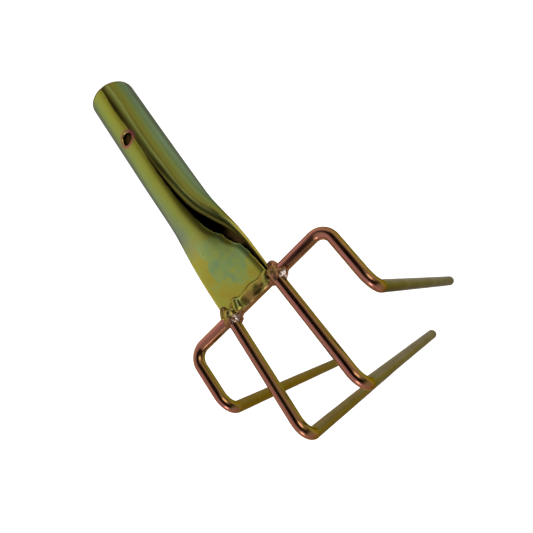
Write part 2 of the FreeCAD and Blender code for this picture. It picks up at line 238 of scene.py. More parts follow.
def socket_material():
    """Gold-olive film with bands that follow the lip, painted shade along the lip and inside, and
    die marks on the pressed plate.
    """
    n = Nodes("socket_film")
    level = n.attribute("level")
    streak = n.noise(1.0, 3.0, 0.55, stretched(n, ("lip", "level", "inside"), (9.0, 2.2, 0.0)))
    broad = n.noise(28.0, 2.0, 0.5)
    waver = n.math("ADD", n.spread(broad, 0.3, 0.7, -0.02, 0.02),
                   n.spread(streak, 0.3, 0.7, -0.02, 0.02))
    # Darkest at the lip: a black seam line, then a dark band of painted shade and painted
    # reflection where the sheet turns inwards.
    lip_side = n.ramp(n.math("ADD", n.attribute("lip"), waver), [
        (0.00, linear(26, 20, 8)), (0.03, linear(66, 60, 26)), (0.08, linear(98, 94, 42)),
        (0.13, linear(106, 110, 54)), (0.185, linear(132, 138, 74)), (0.235, linear(102, 100, 40)),
        (0.31, linear(108, 106, 44)), (0.40, linear(102, 112, 56)), (0.49, linear(98, 116, 78)),
        (0.62, linear(116, 134, 104)), (0.80, linear(120, 134, 104)),
        (1.00, linear(116, 124, 98))])
    edge_side = n.ramp(n.math("ADD", n.attribute("edge"), waver), [
        (0.00, linear(60, 54, 20)), (0.02, linear(137, 131, 49)), (0.14, linear(141, 141, 57)),
        (0.30, linear(134, 142, 72)), (0.42, linear(126, 138, 88)), (0.58, linear(120, 130, 104)),
        (0.80, linear(112, 120, 100)), (1.00, linear(108, 116, 90))])
    lines = n.noise(1.0, 4.0, 0.7, stretched(n, ("lip", "level", "inside"), (42.0, 0.8, 0.0)))
    lip_side = n.mix(n.spread(lines, 0.35, 0.65, 0.45, 0.0), lip_side, linear(70, 66, 26))
    tube = n.mix(n.attribute("front"), edge_side, lip_side)
    cell = n.add("ShaderNodeTexVoronoi", {"Scale": 85.0, "Randomness": 0.6},
                 feature="F1", distance="CHEBYCHEV")
    n.put(cell.inputs["Vector"], n.place())
    away = n.add("ShaderNodeVectorMath", operation="DISTANCE")
    n.put(away.inputs[0], cell.outputs["Position"])
    n.put(away.inputs[1], tuple(float(v) for v in to_row([PATCH_CENTRE])[0]))
    patch = n.spread(away.outputs["Value"], PATCH_FULL, PATCH_END, 1.0, 0.0)
    tilt = n.noise(75.0, 0.0, 0.5, cell.outputs["Position"])
    patch = n.math("ADD", patch, n.spread(tilt, 0.3, 0.7, -0.25, 0.25))
    soft = n.noise(110.0, 3.0, 0.6)
    patch = n.math("ADD", n.spread(patch, 0.41, 0.46, 0.0, 0.46),
                   n.spread(soft, 0.3, 0.7, 0.05, 0.55))
    plate = n.ramp(patch, [
        (0.10, linear(160, 142, 54)), (0.35, linear(158, 152, 62)), (0.55, linear(149, 157, 77)),
        (0.75, linear(138, 155, 87)), (0.95, linear(126, 149, 98))])
    plate = n.mix(n.spread(level, 0.17, 0.26, 0.0, 0.4), plate, linear(166, 172, 84))
    pressed = n.math("MULTIPLY", n.spread(level, 0.32, 0.22), n.spread(
        n.attribute("front"), 0.0, 1.0, 1.0, 0.0))
    colour = n.mix(pressed, tube, plate)
    colour = n.mix(n.attribute("halo"), colour, linear(150, 70, 84))
    colour = n.mix(n.spread(level, 0.992, 1.0), colour, linear(110, 74, 34))
    colour = n.mix(n.math("MULTIPLY", n.attribute("fold"), 0.75), colour, linear(176, 158, 68))
    specks = n.noise(700.0, 2.0, 0.6)
    colour = n.mix(n.spread(specks, 0.64, 0.74, 0.0, 0.5), colour, linear(84, 76, 36))
    # Inner wall darkened to brown: painted shade inside the tube.
    colour = n.mix(n.attribute("inside"), colour, linear(58, 44, 22))
    n.put(n.shader.inputs["Base Color"], colour)
    n.put(n.shader.inputs["Metallic"], 1.0)
    n.put(n.shader.inputs["Specular Tint"], (0.30, 0.27, 0.31, 1.0))
    n.put(n.shader.inputs["Roughness"], n.spread(streak, 0.3, 0.7, 0.28, 0.38))
    height = n.math("ADD", n.math("MULTIPLY", streak, 0.6), n.math("MULTIPLY", specks, 0.25))
    n.bump(height, 0.10, 0.0004)
    return n.material


def weld_material():
    """Weld metal: olive crowns, brown flanks, painted shade in the pockets and painted highlights
    on the glossy spatter.
    """
    n = Nodes("weld_film")
    lumps = n.noise(120.0, 3.0, 0.55, distortion=0.5)
    wide = n.noise(60.0, 2.0, 0.5)
    olive = n.ramp(n.math("ADD", n.math("MULTIPLY", lumps, 0.5), n.math("MULTIPLY", wide, 0.5)), [
        (0.34, linear(126, 88, 58)), (0.44, linear(140, 122, 58)), (0.52, linear(148, 142, 68)),
        (0.60, linear(134, 142, 82)), (0.70, linear(154, 116, 82))])
    brown = n.ramp(lumps, [
        (0.35, linear(92, 60, 44)), (0.5, linear(126, 88, 62)), (0.65, linear(146, 100, 84))])
    colour = n.mix(n.attribute("brown"), olive, brown)
    # Pockets painted dark: painted shade in the weld's hollows.
    pit_shade = n.spread(n.math("ADD", n.attribute("pit"), n.spread(lumps, 0.3, 0.7, -0.28, 0.28)),
                      0.35, 0.8)
    colour = n.mix(n.math("MULTIPLY", pit_shade, 0.8), colour, linear(42, 30, 16))
    colour = n.mix(n.attribute("toe"), colour, linear(56, 66, 56))
    # Spatter made near white and glossier: painted highlight on the weld's beads.
    flecks = n.noise(330.0, 2.0, 0.7)
    spatter_highlight = n.math("MULTIPLY", n.attribute("bright"), n.spread(flecks, 0.44, 0.50))
    colour = n.mix(spatter_highlight, colour, linear(255, 240, 230))
    n.put(n.shader.inputs["Base Color"], colour)
    n.put(n.shader.inputs["Metallic"], 1.0)
    n.put(n.shader.inputs["Specular Tint"], (0.45, 0.34, 0.16, 1.0))
    dull = n.spread(lumps, 0.3, 0.7, 0.44, 0.30)
    n.put(n.shader.inputs["Roughness"], n.math("SUBTRACT", dull, n.math("MULTIPLY", spatter_highlight, 0.14)))
    fine = n.noise(500.0, 3.0, 0.6)
    n.bump(n.math("ADD", lumps, n.math("MULTIPLY", fine, 0.25)), 0.22, 0.0004)
    return n.material


# Meshes

def make_piece(name, vertices, faces, material, attributes=None):
    mesh = bpy.data.meshes.new(name)
    mesh.from_pydata([tuple(v) for v in vertices], [], faces)
    mesh.update()
    for key, values in (attributes or {}).items():
        layer = mesh.attributes.new(key, "FLOAT", "POINT")
        layer.data.foreach_set("value", np.asarray(values, dtype=np.float32))
    piece = bpy.data.objects.new(name, mesh)
    bpy.context.scene.collection.objects.link(piece)
    mesh.materials.append(material)
    mesh.polygons.foreach_set("use_smooth", [True] * len(mesh.polygons))
    return piece


def filleted(points, radius, step):
    """Points along a polyline with rounded corners, and which stretch each belongs to."""
    points = [np.asarray(p, dtype=float) for p in points]
    path, part = [], []
    begin = points[0]
    for index in range(1, len(points) - 1):
        corner = points[index]
        into = (corner - points[index - 1]) / np.linalg.norm(corner - points[index - 1])
        out = (points[index + 1] - corner) / np.linalg.norm(points[index + 1] - corner)
        turn = math.acos(np.clip(into @ out, -1, 1))
        setback = radius * math.tan(turn / 2)
        arc_start = corner - into * setback
        count = max(2, int(np.linalg.norm(arc_start - begin) / step))
        for k in range(count):
            path.append(begin + (arc_start - begin) * k / count)
            part.append(float(index - 1))
        inward = out - into * (out @ into)
        inward /= np.linalg.norm(inward)
        centre = arc_start + inward * radius
        count = max(6, int(turn * radius / (step * 0.4)))
        for k in range(count):
            angle = turn * k / count
            across = inward * radius * math.cos(angle)
            path.append(centre - across + into * radius * math.sin(angle))
            part.append(index - 1 + k / count)
        begin = corner + out * setback
    count = max(2, int(np.linalg.norm(points[-1] - begin) / step))
    for k in range(count + 1):
        path.append(begin + (points[-1] - begin) * k / count)
        part.append(float(len(points) - 2))
    return np.array(path), np.array(part)


ROD_RADIUS, BEND_RADIUS = 4.0, 10.0
PATH_STEP, AROUND_COUNT = 2.2, 40
TIP_LENGTH, TIP_FACE, TIP_RINGS = 3.0, 1.15, 8
TINE_FADE = 200.0


def rounded_tip(at, way, tangent, travelled, where):
    """Stations that round off a bar's end, from the side inwards to its middle."""
    cap = []
    for k in range(TIP_RINGS + 1):
        angle = math.pi / 2 * k / TIP_RINGS
        back = TIP_LENGTH * (1 - math.sin(angle))
        scale = (TIP_FACE + (ROD_RADIUS - TIP_FACE) * math.cos(angle)) / ROD_RADIUS
        cap.append((at - way * back, tangent, scale if k < TIP_RINGS else 0.02, travelled, where))
    return cap


def swept_rod(name, points, rounded, tine_parts, material, seed):
    """Round bar along the points: rounded tips, a hair of flattening where it was bent.

    rounded says for the start and the end whether it is a tip. tine_parts gives where along the
    bar, counted in stretches between bends, each tine begins, and which way it runs from there.
    """
    rng = np.random.default_rng(seed)
    path, part = filleted(points, BEND_RADIUS, PATH_STEP)
    length = np.concatenate([[0], np.cumsum(np.linalg.norm(np.diff(path, axis=0), axis=1))])
    total = length[-1]
    tangents = np.gradient(path, axis=0)
    tangents /= np.linalg.norm(tangents, axis=1)[:, None]
    aside = [0.0, 0.0, 1.0] if abs(tangents[0][2]) < 0.9 else [0.0, 1.0, 0.0]
    normal = np.cross(tangents[0], aside)
    normal /= np.linalg.norm(normal)
    phases = rng.uniform(0, 2 * math.pi, 4)
    body = [(path[i], tangents[i], 1.0, length[i], part[i]) for i in range(len(path))]
    clear = TIP_LENGTH + 0.3
    if rounded[0]:
        cap = rounded_tip(path[0], -tangents[0], tangents[0], length[0], part[0])
        body = cap[::-1] + [s for s in body if s[3] > clear]
    if rounded[1]:
        cap = rounded_tip(path[-1], tangents[-1], tangents[-1], total, part[-1])
        body = [s for s in body if s[3] < total - clear] + cap
    vertices, along, tine, olive, side, underside_shade, gold, around = [], [], [], [], [], [], [], []
    for centre, tangent, scale, travelled, where in body:
        normal = normal - tangent * (normal @ tangent)
        normal /= np.linalg.norm(normal)
        other = np.cross(tangent, normal)
        bending = abs(where - round(where))
        for k in range(AROUND_COUNT):
            angle = 2 * math.pi * k / AROUND_COUNT
            way = normal * math.cos(angle) + other * math.sin(angle)
            wave = 0.018 * math.sin(travelled * 0.11 + phases[0] + angle)
            wave += 0.012 * math.sin(travelled * 0.37 + phases[1] + 2 * angle)
            size = ROD_RADIUS * scale * (1 - 0.008 - wave * 0.25 - 0.02 * bending)
            vertices.append(centre + way * size)
            along.append(travelled)
            around.append(k / AROUND_COUNT)
            mix = 0.0
            for start, sign in tine_parts:
                mix = max(mix, min(1.0, max(0.0, sign * (where - start) * 3.2)))
            olive.append(mix)
            # Which way each point faces, for the bar's painted highlight, shade and reflection
            # bands.
            flank = way[0] - abs(tangent[0]) * (0.75 * way[2] + 0.2)
            side.append(min(1.0, max(0.0, 0.5 + 0.5 * flank)))
            # Painted shade factor: 0 where a point faces one fixed way, 1 where it faces away.
            underside_shade.append(0.5 - 0.5 * (0.81 * way[0] + 0.59 * way[2]))
            gold.append(min(1.0, max(0.0, 0.5 - centre[0] / 120.0)))
            from_start = tine_parts[0][1] < 0 and travelled < total / 2
            near_end = travelled if from_start else total - travelled
            tine.append(max(0.0, 1.0 - near_end / TINE_FADE))
    faces = []
    rings = len(vertices) // AROUND_COUNT
    for ring in range(rings - 1):
        for k in range(AROUND_COUNT):
            a = ring * AROUND_COUNT + k
            b = ring * AROUND_COUNT + (k + 1) % AROUND_COUNT
            faces.append((a, b, b + AROUND_COUNT, a + AROUND_COUNT))
    faces.append(tuple(range(AROUND_COUNT - 1, -1, -1)))
    faces.append(tuple(range((rings - 1) * AROUND_COUNT, rings * AROUND_COUNT)))
    return make_piece(name, to_row(vertices), faces, material, {
        "along": along, "around": around, "olive": olive, "side": side,
        "underside_shade": underside_shade, "gold": gold, "tine": tine})


def unit(x, y, z):
    v = np.array([x, y, z], dtype=float)
    return v / np.linalg.norm(v)


def slope(degrees):
    return math.tan(math.radians(degrees))


# Lengths run from corner point to corner point, and a tine's slopes say how far it splays and
# rises for each millimetre that it reaches.
bar_film = rod_material("outer_bar_film", 0.0)
inner_film = rod_material("inner_tine_film", 14.0)
TINE_LENGTH, LEFT_TINE_LENGTH = 212.0, 224.0
right_corner = np.array([62.6, 0.0, 0.0])
left_corner = np.array([-60.2, 0.0, 0.0])
right_heel = right_corner + 49.3 * unit(math.cos(math.radians(88.4)), 0, -1)
left_heel = left_corner + 45.0 * unit(-math.cos(math.radians(91.8)), 0, -1)
right_tip = right_heel + TINE_LENGTH * unit(slope(1.7), 1, slope(7.8))
left_tip = left_heel + LEFT_TINE_LENGTH * unit(-slope(1.5), 1, slope(10.2))
outer = swept_rod(
    "outer_bar", [left_tip, left_heel, left_corner, right_corner, right_heel, right_tip],
    (True, True), ((0.28, -1), (3.72, 1)), bar_film, 11)
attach(outer, "root")
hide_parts("outer_tine_bar")

# Columns: side, its sign along X, offset from the middle, shank length, the tine's rise and
# splay in degrees, seed.
INNER = (("right", 1, 20.8, 88.4, 11.4, 1.5, 12), ("left", -1, 20.2, 89.7, 11.7, -0.4, 13))
INNER_FORWARD, INNER_SPLAY, INNER_BACK = 3.5, 1.8, 1.7
for side_name, sign, offset, shank, rise, splay, seed in INNER:
    top = np.array([sign * offset, -INNER_FORWARD, 0.0])
    heel = top + shank * unit(sign * slope(INNER_SPLAY), slope(INNER_BACK), -1)
    tip = heel + TINE_LENGTH * unit(sign * slope(splay), 1, slope(rise))
    piece = swept_rod("inner_bar_" + side_name, [top, heel, tip], (False, True),
                      ((0.72, 1),), inner_film, seed)
    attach(piece, "root")
    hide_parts("inner_tine_" + side_name)

# Socket sheet. Columns: height, flatness, free edge azimuth, lip azimuth, lip rise,
# how far the lip's end turns inwards, and the width over which it turns.
SHEET_RADIUS, HALF_SHEET = 16.2, 1.0
FLAT_HALF, FOLD, FOLD_TURN, PLATE_X = 20.4, 1.5, 8, -3.0
SHEET = np.array([
    [206.0, 0.00, 12.2, 13.4, 0.0, 0.2, 10.0],
    [160.0, 0.00, 12.2, 13.4, 0.0, 0.4, 12.0],
    [122.0, 0.00, 12.2, 13.6, 0.0, 0.8, 14.0],
    [106.0, 0.03, 12.2, 14.6, 0.1, 1.4, 18.0],
    [93.0, 0.09, 12.6, 17.0, 0.8, 2.2, 20.0],
    [81.0, 0.19, 13.6, 23.0, 2.2, 2.6, 18.0],
    [70.0, 0.38, 15.0, 33.0, 3.8, 2.2, 14.0],
    [60.0, 0.60, 17.0, 48.0, 4.4, 1.8, 11.0],
    [55.0, 0.70, 21.0, 56.0, 4.3, 1.6, 10.0],
    [50.0, 0.80, 31.0, 64.0, 4.0, 1.4, 9.0],
    [46.0, 0.86, 40.0, 70.0, 3.7, 1.2, 8.0],
    [42.0, 0.91, 43.0, 75.0, 3.4, 1.0, 8.0],
    [37.0, 0.95, 52.0, 80.0, 3.0, 0.8, 7.0],
    [32.0, 0.98, 65.0, 83.0, 2.5, 0.6, 6.0],
    [25.0, 0.995, 71.0, 85.5, 2.1, 0.4, 5.0],
    [18.0, 1.00, 74.0, 87.0, 1.8, 0.3, 5.0],
    [10.0, 1.00, 77.5, 88.0, 1.6, 0.2, 5.0],
    [4.0, 1.00, 79.0, 88.5, 1.5, 0.2, 5.0],
])[::-1]


def smooth_table(height):
    """Table row at any height, by cubic interpolation with limited slopes."""
    z = SHEET[:, 0]
    index = int(np.clip(np.searchsorted(z, height) - 1, 0, len(z) - 2))
    steps = np.diff(z)
    gradients = np.diff(SHEET[:, 1:], axis=0) / steps[:, None]

    def tangent(i):
        if i == 0 or i == len(z) - 1:
            return gradients[min(i, len(gradients) - 1)]
        before, after = gradients[i - 1], gradients[i]
        return np.where(before * after > 0, 2 * before * after / (before + after + 1e-12), 0.0)

    span = steps[index]
    t = (height - z[index]) / span
    low, high = SHEET[index, 1:], SHEET[index + 1, 1:]
    m0, m1 = tangent(index) * span, tangent(index + 1) * span
    return ((2 * t**3 - 3 * t**2 + 1) * low + (t**3 - 2 * t**2 + t) * m0
            + (-2 * t**3 + 3 * t**2) * high + (t**3 - t**2) * m1)


def tube_at(azimuth):
    """Middle of the sheet on the round tube; azimuth 0 faces forward, positive is right."""
    angle = np.radians(azimuth)
    return np.column_stack([SOCKET_X + SHEET_RADIUS * np.sin(angle),
                            SOCKET_Y - SHEET_RADIUS * np.cos(angle)])


def plate_at(azimuth):
    """Middle of the sheet on the pressed plate, folded within FOLD_TURN of azimuths -90 and 90."""
    reach = 90 - FOLD_TURN
    turn = (azimuth + 90) % 360 - 90
    back = turn > 90 + FOLD_TURN
    mirror = np.where(back, 180 - turn, turn)
    side = np.where(back, -1.0, 1.0)
    flat = np.abs(mirror) <= reach
    past = np.copysign(np.pi / 2 * (np.abs(mirror) - reach) / FOLD_TURN, mirror)
    x = np.where(flat, PLATE_X + FLAT_HALF * mirror / reach,
                 PLATE_X + np.copysign(FLAT_HALF, mirror) + FOLD * np.sin(past))
    y = np.where(flat, -side * FOLD, -side * FOLD * np.cos(past))
    return np.column_stack([x, y])


def sheet_azimuths(free_edge, lip):
    """Azimuths from the free edge leftwards round the back to the lip."""
    found = [free_edge]
    for begin, end, count, slow_in, slow_out in (
            (free_edge, -90.0, 44, 0.3, 0.8), (-90.0, -270.0, 70, 0.8, 0.8),
            (-270.0, lip - 360.0, 44, 0.8, 0.5)):
        part = np.arange(1, count + 1) / count
        ease = part * part * (3 - 2 * part)
        weight = slow_in * (1 - part) + slow_out * part
        found.extend(begin + (end - begin) * (part * (1 - weight) + ease * weight))
    return np.array(found)


# Shallow dents in the sheet: azimuth, height, spread and depth.
rng = np.random.default_rng(5)
dents = [(rng.uniform(-170, 170), rng.uniform(8, 100), rng.uniform(4, 11),
          rng.uniform(-0.12, 0.12)) for _ in range(26)]


def share(value, span):
    """value over span, kept between 0 and 1."""
    return min(1.0, max(0.0, value / span))


def middle_line(height):
    """Middle of the sheet at one height, and each point's azimuth."""
    flat, free_edge, lip, rise, inward, width = smooth_table(height)
    ripple = 0.9 * math.sin(height * 0.83) + 0.5 * math.sin(height * 1.9 + 1.0)
    ripple *= share(62 - height, 10.0) * share(height - 12, 8.0)
    azimuth = sheet_azimuths(free_edge + ripple, lip)
    line = tube_at(azimuth) * (1 - flat) + plate_at(azimuth) * flat
    curl = np.clip((-245.0 - azimuth) / 40.0, 0, 1)
    line[:, 1] -= rise * curl * curl * (3 - 2 * curl)
    from_lip = np.clip(1 - (azimuth - (lip - 360.0)) / max(width, 1.0), 0, 1)
    line[:, 1] += inward * from_lip**2
    dip = np.clip(1 - (free_edge - azimuth) / 16.0, 0, 1) * share(70 - height, 15.0)
    line[:, 1] += 0.7 * dip**2
    for at, level, spread, depth in dents:
        gap = (azimuth - at + 180) % 360 - 180
        line[:, 1] += depth * np.exp(-(gap / (spread * 2.4))**2 - ((height - level) / spread)**2)
    return line, azimuth


heights = np.concatenate([
    np.arange(4.0, 118.0, 1.0), np.arange(118.0, 205.0, 1.25), [205.5, SOCKET_MOUTH]])
outside, inside, azimuth_rows = [], [], []
for height in heights:
    line, azimuth = middle_line(height)
    ahead = np.gradient(line, axis=0)
    ahead /= np.linalg.norm(ahead, axis=1)[:, None]
    normal = np.column_stack([-ahead[:, 1], ahead[:, 0]])
    z = np.full(len(line), height)
    outside.append(np.column_stack([line + normal * HALF_SHEET, z]))
    inside.append(np.column_stack([line - normal * HALF_SHEET, z]))
    azimuth_rows.append(azimuth)
outside, inside, azimuth_rows = np.array(outside), np.array(inside), np.array(azimuth_rows)
rows, columns = azimuth_rows.shape
EDGE_POINTS = (0.2, 0.5, 0.8)
EDGE_BULGE = 0.35


def loop_of(layer_out, layer_in):
    """One closed ring of points round the sheet's section with softened edges."""
    ends = []
    for column in (-1, 0):
        a, b = layer_out[:, column], layer_in[:, column]
        neighbour = layer_out[:, -2] if column == -1 else layer_out[:, 1]
        outward = a - neighbour
        outward /= np.linalg.norm(outward, axis=1)[:, None] + 1e-9
        ends.append((a, b, outward))
    (a, b, out_lip), (c, d, out_edge) = ends
    lip = [a * (1 - t) + b * t + out_lip * EDGE_BULGE * math.sin(math.pi * t)
           for t in EDGE_POINTS]
    edge = [d * (1 - t) + c * t + out_edge * EDGE_BULGE * math.sin(math.pi * t)
            for t in EDGE_POINTS]
    ring = [layer_out, np.stack(lip, axis=1), layer_in[:, ::-1], np.stack(edge, axis=1)]
    return np.concatenate(ring, axis=1)


ring_points = loop_of(outside, inside)
ring_size = ring_points.shape[1]
is_inside = np.concatenate([
    np.zeros(columns), [0.2, 0.5, 0.9], np.ones(columns), [0.9, 0.5, 0.2]])
# Each ring runs along the outside, over the lip's edge, back along the inside from index inner,
# and over the free edge.
inner = columns + len(EDGE_POINTS)
faces = []
for row in range(rows - 1):
    for k in range(ring_size):
        a, b = row * ring_size + k, row * ring_size + (k + 1) % ring_size
        faces.append((a, a + ring_size, b + ring_size, b))
for row in (0, rows - 1):
    base = row * ring_size
    for k in range(columns - 1):
        across = base + columns + inner - 1 - k
        quad = (base + k, base + k + 1, across - 1, across)
        faces.append(quad if row == 0 else quad[::-1])
    for offset, first, second in ((columns, columns - 1, inner),
                                  (columns + inner, columns + inner - 1, 0)):
        cap = (base + first, base + offset, base + offset + 1, base + offset + 2, base + second)
        faces.append(cap if row == 0 else cap[::-1])
flat_points = ring_points.reshape(-1, 3)
ring_gap = np.linalg.norm(np.diff(outside, axis=1, prepend=outside[:, :1]), axis=2)
from_edge = np.cumsum(ring_gap, axis=1)
from_lip = from_edge[:, -1:] - from_edge


def round_section(values):
    """Values at the outer columns carried round the whole section."""
    extra = len(EDGE_POINTS)
    return np.concatenate([
        values, np.repeat(values[:, -1:], extra, axis=1), values[:, ::-1],
        np.repeat(values[:, :1], extra, axis=1)], axis=1).reshape(-1)


BAND_REACH, HALO_WIDTH = 30.0, 3.2
hole_centre = np.array([SOCKET_X + SOCKET_RADIUS * math.sin(HOLE_AZIMUTH),
                        SOCKET_Y - SOCKET_RADIUS * math.cos(HOLE_AZIMUTH), HOLE_HEIGHT])
from_hole = np.linalg.norm(flat_points - hole_centre, axis=1)
halo = np.clip(1 - (from_hole - HOLE_RADIUS) / HALO_WIDTH, 0, 1)
lift = np.clip((np.abs(flat_points[:, 0] - PLATE_X) - FLAT_HALF) / 2.4, 0, 1)
fold = lift * np.clip((60 - flat_points[:, 2]) / 20, 0, 1)
on_lip_side = np.clip((round_section(azimuth_rows) * -1 - 170.0) / 20.0, 0, 1)
socket = make_piece("socket_shell", to_row(flat_points), faces, socket_material(), {
    "lip": np.clip(round_section(from_lip) / BAND_REACH, 0, 1),
    "edge": np.clip(round_section(from_edge) / BAND_REACH, 0, 1),
    "front": on_lip_side, "level": flat_points[:, 2] / SOCKET_MOUTH,
    "inside": np.tile(is_inside, rows), "halo": halo, "fold": fold})

# The pin hole is drilled through the front wall only, between these distances from the axis.
DRILL_FROM, DRILL_TO, DRILL_SIDES = 8.0, 24.0, 48
drill_points, drill_faces = [], []
drill_way = np.array([math.sin(HOLE_AZIMUTH), -math.cos(HOLE_AZIMUTH), 0.0])
drill_side = np.array([math.cos(HOLE_AZIMUTH), math.sin(HOLE_AZIMUTH), 0.0])
for depth in (DRILL_FROM, DRILL_TO):
    for k in range(DRILL_SIDES):
        angle = 2 * math.pi * k / DRILL_SIDES
        drill_points.append(np.array([SOCKET_X, SOCKET_Y, HOLE_HEIGHT]) + drill_way * depth
                            + drill_side * HOLE_RADIUS * math.cos(angle)
                            + np.array([0, 0, 1.0]) * HOLE_RADIUS * math.sin(angle))
for k in range(DRILL_SIDES):
    n = (k + 1) % DRILL_SIDES
    drill_faces.append((k, n, n + DRILL_SIDES, k + DRILL_SIDES))
drill_faces.append(tuple(range(DRILL_SIDES - 1, -1, -1)))
drill_faces.append(tuple(range(DRILL_SIDES, 2 * DRILL_SIDES)))
drill = make_piece("drill", to_row(drill_points), drill_faces, socket.data.materials[0])
for piece in (socket, drill):
    bpy.context.view_layer.objects.active = piece
    for other in bpy.context.view_layer.objects:
        other.select_set(other == piece)
    bpy.ops.object.mode_set(mode="EDIT")
    bpy.ops.mesh.select_all(action="SELECT")
    bpy.ops.mesh.normals_make_consistent(inside=False)
    bpy.ops.object.mode_set(mode="OBJECT")
cut = socket.modifiers.new("hole", "BOOLEAN")
cut.operation, cut.object, cut.solver = "DIFFERENCE", drill, "EXACT"
bpy.context.view_layer.objects.active = socket
bpy.ops.object.modifier_apply(modifier="hole")
bpy.data.objects.remove(drill)
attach(socket, "root")
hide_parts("socket")

# Weld beads, each grown from overlapping lumps, merged and roughened.

# Pockets painted dark as painted shade, and spatter brightened as painted highlight, on the weld's
# face: x, z and the half sizes along each.
SHADED_PITS = ((17.4, 3.2, 2.4, 2.6), (16.4, 0.2, 1.6, 2.0), (5.4, -1.9, 7.2, 1.8), (9.8, -0.4, 2.8, 1.5),
        (-9.0, 1.2, 0.8, 2.6), (-18.6, 1.2, 1.0, 1.0), (-18.8, -3.2, 1.2, 1.4),
        (22.8, -6.4, 1.2, 1.9), (-20.2, -6.8, 1.2, 1.2))
BRIGHT = ((27.0, -5.6, 1.6, 1.6), (25.6, -6.8, 1.8, 1.8), (24.0, -8.2, 1.6, 1.6),
          (22.8, -9.4, 1.0, 1.0), (-15.8, -4.0, 1.6, 1.6), (-17.0, -5.4, 1.9, 1.9),
          (-18.2, -7.2, 1.5, 1.5))


def near(points, spots):
    """1 at each spot's centre, falling to 0 at its edge, measured across the weld's face."""
    found = np.zeros(len(points))
    for x, z, half_x, half_z in spots:
        gap = np.hypot((points[:, 0] - x) / half_x, (points[:, 2] - z) / half_z)
        found = np.maximum(found, np.clip(1.35 - gap, 0, 1))
    return found


WELD_GRAIN, PIT_DEPTH, SHRINK = 0.34, 0.12, 0.12
RIPPLE_WAVES = (0.7, 1.0, 1.45, 2.1, 2.9, 4.1)


def weld_piece(name, node, lumps, seed, rough, brown=0.0, toe=None):
    """Overlapping lumps merged into one skin, smoothed, then roughened with seeded noise.

    Each lump is its centre, its half sizes and its turn about Y in degrees. toe gives the
    heights, over X, of the line where the bead meets the plate.
    """
    shape = bmesh.new()
    for centre, half, angle in lumps:
        ball = bmesh.ops.create_icosphere(shape, subdivisions=3, radius=1.0)["verts"]
        spin = Matrix.Rotation(math.radians(angle), 3, "Y")
        for vertex in ball:
            spot = spin @ Vector([vertex.co[i] * half[i] for i in range(3)])
            vertex.co = Vector(to_row([np.array(centre) + np.array(spot)])[0])
    mesh = bpy.data.meshes.new(name)
    shape.to_mesh(mesh)
    shape.free()
    piece = bpy.data.objects.new(name, mesh)
    bpy.context.scene.collection.objects.link(piece)
    mesh.materials.append(weld_film)
    merge = piece.modifiers.new("merge", "REMESH")
    merge.mode, merge.voxel_size, merge.use_smooth_shade = "VOXEL", WELD_GRAIN * MM, True
    soften = piece.modifiers.new("soften", "SMOOTH")
    soften.factor, soften.iterations = 0.6, 6
    bpy.context.view_layer.objects.active = piece
    for modifier in ("merge", "soften"):
        bpy.ops.object.modifier_apply(modifier=modifier)
    mesh = piece.data
    count = len(mesh.vertices)
    flat = np.empty(count * 3)
    mesh.vertices.foreach_get("co", flat)
    tool = to_tool(flat.reshape(-1, 3))
    normals = np.empty(count * 3)
    mesh.vertices.foreach_get("normal", normals)
    normals = normals.reshape(-1, 3) @ TURN
    phase = np.random.default_rng(seed).uniform(0, 6.28, (6, 3))
    ripple = np.zeros(count)
    for index, wave in enumerate(RIPPLE_WAVES):
        ripple += np.sin(tool[:, 0] * wave + phase[index, 0]) * np.sin(
            tool[:, 1] * wave * 1.1 + phase[index, 1]) * np.sin(
            tool[:, 2] * wave * 0.9 + phase[index, 2]) / (index + 1.0) ** 0.5
    pit = near(tool, SHADED_PITS)
    bright = near(tool, BRIGHT)
    ripple = ripple * rough * (1 + 1.1 * bright) - PIT_DEPTH * pit - SHRINK
    tool += normals * ripple[:, None]
    mesh.vertices.foreach_set("co", to_row(tool).reshape(-1))
    line = np.zeros(count)
    if toe is not None:
        across = np.interp(tool[:, 0], toe[0], toe[1])
        line = np.clip(1.4 - np.abs(tool[:, 2] - across) / 0.7, 0, 1)
    low = np.clip((-2.2 - tool[:, 2]) / 1.6, 0, 1)
    for key, values in (("pit", pit), ("bright", bright), ("toe", line),
                        ("brown", np.clip(low + brown, 0, 1))):
        layer = mesh.attributes.new(key, "FLOAT", "POINT")
        layer.data.foreach_set("value", values.astype(np.float32))
    mesh.polygons.foreach_set("use_smooth", [True] * len(mesh.polygons))
    mesh.update()
    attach(piece, "root")
    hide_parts(node)


weld_film = weld_material()
wash = []
for step in range(37):
    x = -13.6 + step * 0.79
    wash.append(((x, -1.9 - 0.2 * math.sin(x * 0.47), 1.5 + 0.3 * math.sin(x * 0.35 + 1)),
                 (2.6, 3.1 + 0.2 * math.sin(x * 0.61), 5.5 + 0.3 * math.cos(x * 0.43)), 8))
finger_run = [((-11.6 - 0.14 * k, -3.4, 4.6 - 0.5 * k), (3.2, 3.1, 3.1), 0) for k in range(12)]
joined = [((-16.0, -2.2, 4.2), (2.1, 2.6, 2.6), 0), ((15.2, -1.9, 3.4), (2.0, 2.7, 3.6), 0)]
weld_piece("weld_wash", "weld_front", wash + finger_run + joined, 21, 0.075,
           toe=((-18.0, -13.0, -9.0, -2.6, 8.0, 17.7), (6.0, 7.0, 6.6, 6.6, 6.7, 6.9)))
weld_piece("weld_rear_run", "weld_back", [
    ((x, 3.2, 4.5), (2.2, 2.4 + 0.15 * math.sin(x), 2.5), 0) for x in range(-19, 14)],
    22, 0.16, 0.5)
